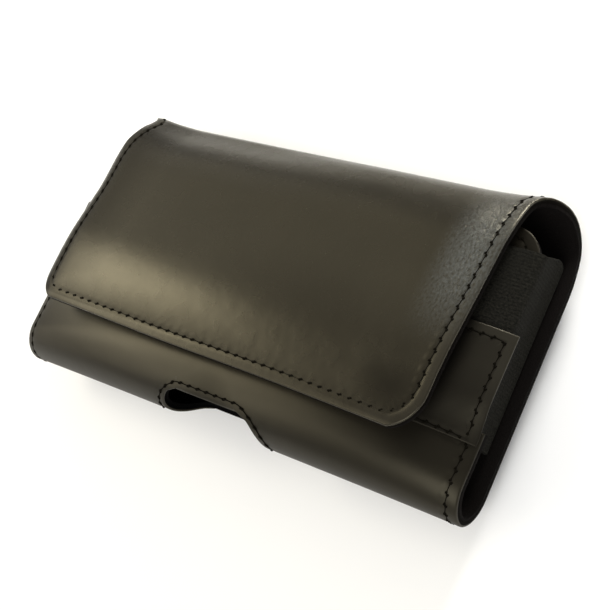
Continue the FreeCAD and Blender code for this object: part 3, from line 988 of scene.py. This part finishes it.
class Look:
    """A material with its main shader."""

    def __init__(self, name, slot):
        self.material = bpy.data.materials.new(name)
        self.material.use_nodes = True
        self.tree = self.material.node_tree
        self.shader = next(n for n in self.tree.nodes if n.type == "BSDF_PRINCIPLED")
        self.slot = slot

    def node(self, kind, settings=(), inputs=(), output=0):
        made = self.tree.nodes.new(kind)
        for key, value in dict(settings).items():
            setattr(made, key, value)
        for key, value in dict(inputs).items():
            feed(self.tree, made.inputs[key], value)
        return Wire(self.tree, made.outputs[output])

    def flat(self, layer):
        """The two numbers of a UV layer, in millimetres."""
        uv = self.node("ShaderNodeUVMap", {"uv_map": layer})
        split = self.node("ShaderNodeSeparateXYZ", {}, {0: uv}).socket.node
        return [Wire(self.tree, split.outputs[i]) * 100 for i in (0, 1)]

    def point(self, x, y):
        return self.node("ShaderNodeCombineXYZ", {}, {"X": x, "Y": y})

    def noise(self, place, scale, detail, rough=0.5):
        return self.node("ShaderNodeTexNoise", {}, {"Vector": place, "Scale": scale, "Detail": detail,
                                                    "Roughness": rough})

    def mix(self, share, first, second):
        """From the first colour to the second. The mix node has its colours in its sockets 6 and 7."""
        return self.node("ShaderNodeMix", {"data_type": "RGBA"}, {0: share, 6: first, 7: second}, output=2)

    def matte_where(self, share, tone):
        """Lays a dark matte shader over the main one where the share is high: on cut edges, and as painted
        shade.
        """
        matte_shade = self.node("ShaderNodeBsdfPrincipled", {}, {"Base Color": tone, "Roughness": 0.9,
                                                           "Specular IOR Level": 0.03})
        main = Wire(self.tree, self.shader.outputs[0])
        mixed = self.node("ShaderNodeMixShader", {}, {0: share, 1: main, 2: matte_shade})
        output = next(n for n in self.tree.nodes if n.type == "OUTPUT_MATERIAL")
        self.tree.links.new(mixed.socket, output.inputs["Surface"])

    def bump(self, height, strength):
        """height is in millimetres."""
        made = self.node("ShaderNodeBump", {}, {"Height": height, "Distance": MM, "Strength": strength})
        self.tree.links.new(made.socket, self.shader.inputs["Normal"])

    def set(self, **values):
        for key, value in values.items():
            feed(self.tree, self.shader.inputs[key.replace("_", " ")], value)
        return self


# %% Leather
# The second tone on the next line is the cut edges' dark tone, also laid on as painted shade where a shade mask
# is high.
LEATHER_TONE, EDGE_AND_SHADE_TONE = (0.0088, 0.0074, 0.0047), (0.0040, 0.0033, 0.0026)
# The first tone on the next line is a painted highlight on the margins of the right end.
MARGIN_HIGHLIGHT_TONE, HOLE_TONE = (0.020, 0.018, 0.014), (0.0015, 0.0013, 0.0012)
# The first tone on the next line is a painted highlight beside the flap's right-hand seam, and the second is
# painted black shade in the notch.
CREASE_HIGHLIGHT_TONE, NOTCH_SHADE_TONE = (0.080, 0.087, 0.088), (0.0003, 0.0003, 0.0003)


def leather(name, tone=LEATHER_TONE, rough=0.27, sheen=None, matte_shade=None, black=None, pale=None):
    """The last four arguments are masks: a painted highlight where the leather is crumpled, painted shade,
    painted black shade round the notch, and a painted highlight on a margin.
    """
    look = Look(name, "black_leather")
    x, y = look.flat("flat")
    inward, along = look.flat("rim")
    place = look.point(x, y)
    side = look.node("ShaderNodeAttribute", {"attribute_name": "face_side"}, output=2)
    broad = look.noise(place, 0.035, 3)
    cloudy = look.noise(place, 0.16, 2)
    pores = look.noise(place, 1.2, 2)
    colour = look.mix(broad.step(0.35, 0.7), tone, tuple(v * 1.3 for v in tone))
    if pale:
        # A painted highlight on the margin between the seam and the cut edge, where the pale mask is high.
        margin = 1 - inward.step(-0.7, -0.2)
        colour = look.mix(margin * pale(x, y) * 0.5, colour, MARGIN_HIGHLIGHT_TONE)
    beads = (along * (2 * math.pi / PITCH)).math("COSINE") * 0.5 + 0.5
    puffs = 0.02 + x.step(58, 68) * y.step(12, 24) * 0.08
    height = pores * 0.005 + cloudy * 0.08 + inward.near(1.2, 1.4) * beads * puffs
    colour = look.mix(inward.near(0, 0.45) * 0.5, colour, HOLE_TONE)
    # Where the sheen mask is high, the leather is crumpled, which is a real bump, and lighter, which is a
    # painted highlight.
    if sheen:
        creases = look.noise(look.point(x * 1.6, y * 0.8), 0.9, 4, 0.65)
        height = height + creases * sheen(x, y) * 0.40
        colour = look.mix(sheen(x, y) * creases.step(0.3, 0.7), colour, CREASE_HIGHLIGHT_TONE)
    look.bump(height * side.step(0.6, 0.99), 0.8)
    look.set(Base_Color=colour, Roughness=rough + (cloudy - 0.5) * 0.06, IOR=1.5,
             Specular_IOR_Level=0.5, Specular_Tint=(1.0, 0.91, 0.66))
    # Cut faces get the edges' dark matte. Where a shade mask is high, the same dark matte is painted shade, and
    # round the notch it is painted black shade.
    cut = (1 - side).step(0.02, 0.25)
    edge_and_shade_tone = look.mix(black(x, y) if black else 0.0, EDGE_AND_SHADE_TONE, NOTCH_SHADE_TONE)
    look.matte_where(cut.math("MAXIMUM", matte_shade(x, y)) if matte_shade else cut, edge_and_shade_tone)
    return look


def beside_the_seam(x, y):
    """The flap's leather is crumpled beside its right-hand seam, and has a painted highlight there."""
    return x.near(69.5, 13) * y.near(60, 33)


def painted_flap_shade(x, y):
    """Painted shade on the flap at its hem and its left side, in its lower middle and near its right corner."""
    hem = (1 - y.step(6, 15)) * y.step(2.6, 3.4) * (0.5 - x.step(-30, 20) * 0.25)
    left = (1 - x.step(-70, -54)) * x.step(-76, -74) * 0.36
    low = x.near(32, 52) * y.near(20, 26) * 0.3
    dimple_shade = x.near(64, 17) * y.near(13, 13) * 0.5
    return hem.math("MAXIMUM", left).math("MAXIMUM", low).math("MAXIMUM", dimple_shade)


def lit_right_margin(x, y):
    """A painted highlight lightens the margins of the right end."""
    return x.step(55, 62)


# How far down the body's sheet the step, the mouth and the notch lie.
STEP_AT, MOUTH_AT = (float(body_flat[row, -12, 1]) for row in (np.argmin(np.abs(rows - 4)), -1))
NOTCH_FROM, NOTCH_TO = (float(body_flat[notch_rows[i], left_column, 1]) for i in (0, -1))
print("step at %.1f, mouth at %.1f, notch from %.1f to %.1f" % (STEP_AT, MOUTH_AT, NOTCH_FROM, NOTCH_TO))


def near_notch(x):
    return 1 - x.math("ABSOLUTE").step(26, 28)


def in_the_notch(x, y, end=NOTCH_TO + 2, fade=2):
    """The leather round the notch, from just behind it to an end in front of it, where black shade is painted.
    """
    beside = near_notch(x) * y.step(NOTCH_FROM - 5, NOTCH_FROM - 4)
    return beside * (1 - y.step(end, end + fade))


def shaded_front(x, y):
    """The front's right end, the corners of its mouth and the notch's lip lie in painted shade, and the sheet
    up round the curl to the notch's top is a little shaded too.
    """
    below = x.step(38, 70) * y.step(STEP_AT - 27, STEP_AT - 12) * 0.6
    corner = x.math("ABSOLUTE").step(60, 70) * y.step(MOUTH_AT - 14, MOUTH_AT - 8) * 0.5
    lip = in_the_notch(x, y, NOTCH_FROM + 0.6, 0.6)
    bottom = (1 - y.step(NOTCH_TO - 5, NOTCH_TO + 5)) * 0.4
    return below.math("MAXIMUM", corner).math("MAXIMUM", lip).math("MAXIMUM", bottom)


def shaded_tab(x, y):
    """The tabs lie in the flap's shade along their inner and lower sides."""
    lower = 0.62 - y.step(TAB_LOW + 5, TAB_LOW + 22) * 0.5
    inner = (1 - x.math("ABSOLUTE").step(70, 81)) * 0.75
    return lower.math("MAXIMUM", inner)


flap_look = leather("flap leather", sheen=beside_the_seam, matte_shade=painted_flap_shade, pale=lit_right_margin)
body_look = leather("body leather", rough=0.42, matte_shade=shaded_front, black=in_the_notch)
# The tabs' leather tone is darker than the rest: painted shade from the flap over them.
tab_look = leather("tab leather", tone=(0.0040, 0.0034, 0.0028), rough=0.40, matte_shade=shaded_tab,
                   pale=lit_right_margin)
loop_look = leather("loop leather")

# %% Lining, elastic and thread
def lining(name, black=None):
    look = Look(name, "dark_lining")
    x, y = look.flat("flat")
    fuzz = look.noise(look.point(x, y), 2.4, 4, 0.7)
    look.bump(fuzz * 0.12, 0.7)
    colour = look.mix(fuzz.step(0.3, 0.7), (0.003, 0.0025, 0.0022), (0.009, 0.0075, 0.0068))
    # In the notch, the lining is painted black shade.
    if black:
        colour = look.mix(black(x, y), colour, NOTCH_SHADE_TONE)
    return look.set(Base_Color=colour, Roughness=0.95, Specular_IOR_Level=0.05)


lining_look = lining("dark lining")
body_lining_look = lining("dark body lining", in_the_notch)

# The elastic has ribs across it and knots along each rib.
RIB, KNOT = 1.15, 0.8
elastic_look = Look("black elastic", "black_elastic")
x, y = elastic_look.flat("flat")
ribs = (y * (2 * math.pi / RIB)).math("SINE") * 0.5 + 0.5
knots = (x * (2 * math.pi / KNOT)).math("SINE") * 0.5 + 0.5
speck = elastic_look.noise(elastic_look.point(x, y * 1.4), 1.3, 4, 0.7)
elastic_look.bump(ribs * 0.05 + knots * ribs * 0.05 + speck * 0.2, 1.0)
specked = elastic_look.mix(speck.step(0.35, 0.68), (0.0014, 0.0014, 0.0010), (0.018, 0.0168, 0.0125))
elastic_look.set(Base_Color=specked, Roughness=0.9, Specular_IOR_Level=0.1)

thread_look = Look("black thread", "black_leather")
thread_look.set(Base_Color=(0.0036, 0.0029, 0.0014), Roughness=0.9, Specular_IOR_Level=0.05)

# %% [markdown]
# ## Putting it together
#
# Each piece gets its material, and all but the flap's sheets and the fold's stitches ride on the body that they
# belong to.

# %% Materials and bodies
def dress(piece, look):
    piece.data.materials.append(look.material)


flap_pieces = ((flap_sheet, flap_look, ["flap_leather"]), (flap_under, lining_look, ["flap_lining"]))
for piece, look, nodes in flap_pieces:
    dress(piece, look)
    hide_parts(*nodes)
    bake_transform(piece)

riders = [(body_sheet, body_look, ["body_leather"]), (body_under, body_lining_look, ["body_lining"])]
for pieces, look, name in ((gussets, elastic_look, "gusset"), (tabs, tab_look, "end_tab"),
                           (loops, loop_look, "belt_loop")):
    riders += [(piece, look, [word + "_" + name]) for piece, (word, side) in zip(pieces, ENDS)]
for piece, look, nodes in riders:
    dress(piece, look)
    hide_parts(*nodes)
    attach(piece, "pouch")

for piece in (body_stitches, tab_stitches, loop_stitches):
    dress(piece, thread_look)
    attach(piece, "pouch")

dress(flap_stitches, thread_look)
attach(flap_stitches, "flap")
dress(fold_stitches, thread_look)
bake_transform(fold_stitches)

magnet_look = Look("magnet plate", "magnet_plate")
magnet_look.set(Base_Color=(0.5, 0.5, 0.51), Metallic=1.0, Roughness=0.35)
for name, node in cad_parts.items():
    if "magnet" in name:
        node.data.materials.clear()
        node.data.materials.append(magnet_look.material)

# %% [markdown]
# ## Camera, floor and light
#
# The camera's place was worked out from about sixty points of the photograph.

# %% Camera
right = Vector((0.787604, 0.405499, -0.463951))
up = Vector((-0.265050, 0.902677, 0.339002))
behind = Vector((0.556263, -0.144029, 0.818430))
camera_data = bpy.data.cameras.new("camera")
camera_data.sensor_width = 36.0
camera_data.lens = 66.723
camera_data.clip_start = 0.01
camera = bpy.data.objects.new("camera", camera_data)
turned = Matrix((right, up, behind)).transposed()
camera.matrix_world = Matrix.Translation(Vector((0.217148, -0.054858, 0.322355))) @ turned.to_4x4()
bpy.context.scene.collection.objects.link(camera)
bpy.context.scene.camera = camera
bpy.context.scene.view_settings.view_transform = "Standard"

# %% Floor and background
floor_look = Look("pale floor", "floor")
floor_look.set(Base_Color=(0.92, 0.92, 0.92), Roughness=0.9)
corners = [(x * 4000, y * 4000, 0) for x, y in ((-1, -1), (1, -1), (1, 1), (-1, 1))]
floor = new_object("floor", corners, [[0, 1, 2, 3]])
floor.data.materials.append(floor_look.material)

world = bpy.data.worlds.new("studio")
bpy.context.scene.world = world
world.use_nodes = True
tree = world.node_tree
tree.nodes.clear()
path = tree.nodes.new("ShaderNodeLightPath")
plain = tree.nodes.new("ShaderNodeBackground")
white = tree.nodes.new("ShaderNodeBackground")
plain.inputs["Color"].default_value = (1.0, 0.99, 0.98, 1)
plain.inputs["Strength"].default_value = 0.35
mixed = tree.nodes.new("ShaderNodeMixShader")
output = tree.nodes.new("ShaderNodeOutputWorld")
for source, target in ((path.outputs["Is Camera Ray"], mixed.inputs[0]), (plain.outputs[0], mixed.inputs[1]),
                       (white.outputs[0], mixed.inputs[2]), (mixed.outputs[0], output.inputs["Surface"])):
    tree.links.new(source, target)


# %% Lamps
def lamp(name, place, target, size, power, colour):
    data = bpy.data.lights.new(name, "AREA")
    data.shape = "RECTANGLE"
    data.size, data.size_y = size
    data.energy = power
    data.color = colour
    made = bpy.data.objects.new(name, data)
    made.location = place
    made.rotation_euler = (Vector(target) - Vector(place)).to_track_quat("-Z", "Y").to_euler()
    bpy.context.scene.collection.objects.link(made)


lamp("window", (-0.76, 0.105, 0.806), (0, 0, 0.03), (0.26, 0.26), 1.25, (1.0, 0.93, 0.74))
lamp("window's glow", (-0.85, 0.0, 0.65), (0, 0, 0.03), (0.50, 0.46), 1.7, (1.0, 0.94, 0.79))
lamp("pale wall", (-0.78, 0.45, 0.64), (0, 0, 0.03), (0.85, 0.85), 1.35, (1.0, 0.95, 0.80))
lamp("low strip", (-0.52, 0.88, 0.10), (0, 0.02, 0.03), (0.3, 0.16), 0.12, (1.0, 0.95, 0.80))
lamp("bright floor", (0.07, 0.44, 0.19), (0.03, 0.10, 0.0), (0.17, 0.10), 2.5, (1.0, 0.99, 0.95))
lamp("low card", (-0.82, -0.40, 0.62), (0, 0, 0.03), (0.9, 0.9), 4.6, (1.0, 0.94, 0.80))
lamp("soft top", (0.5, -1.1, 1.35), (0, 0, 0), (1.2, 1.2), 21.0, (0.98, 0.98, 0.97))
